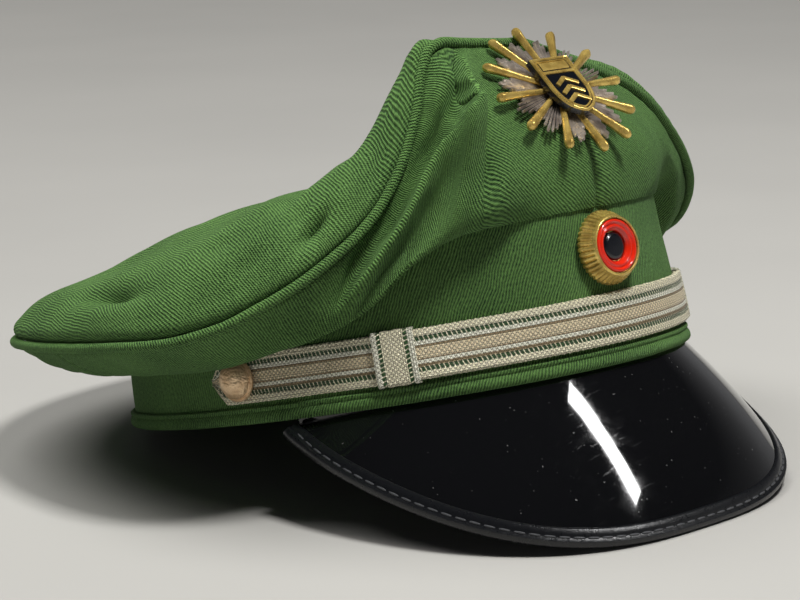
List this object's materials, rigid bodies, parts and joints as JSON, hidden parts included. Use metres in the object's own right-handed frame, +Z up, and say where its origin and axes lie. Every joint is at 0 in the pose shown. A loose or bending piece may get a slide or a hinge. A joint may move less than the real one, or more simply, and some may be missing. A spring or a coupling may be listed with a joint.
{
  "type": "peaked police cap",
  "caption": "Peaked uniform cap with a soft, slouched cloth crown, a patent peak, a braid chin strap with side buttons, a round cockade and a star badge.",
  "frame": {"origin": "middle of the underside of the whole cap's box, on the surface that the cap rests on", "axes": "+Z up; -Y towards the peak, the wearer's front; -X towards the wearer's right. The cap is at its rest: on the back of its lower welt and the front of its peak."},
  "size_m": [0.2382, 0.263, 0.1428],
  "materials": {
    "cloth": "green wool twill, matt",
    "piping": "green wool twill over cord, matt",
    "patent": "black patent, mirror gloss",
    "binding": "black bound edge, stitched, half gloss",
    "braid": "silver and green woven metal braid",
    "gold": "stamped, gold-coloured, satin with dark recesses",
    "red": "red enamel, gloss",
    "black": "black enamel, gloss"
  },
  "bodies": {
    "root": {"crown_top": "cloth", "side_front_right": "cloth", "side_front_left": "cloth", "side_rear_right": "cloth", "side_rear_left": "cloth", "crown_piping": "piping", "band": "cloth", "lower_welt": "piping", "peak": "patent", "peak_binding": "binding", "chin_strap": "braid", "chin_strap_upper": "braid", "slider_right": "braid", "slider_left": "braid", "button_right": "gold", "button_left": "gold", "cockade_rim": "gold", "cockade_ring": "red", "cockade_centre": "black", "badge_star": "gold", "badge_shield": "gold"}
  },
  "joints": []
}
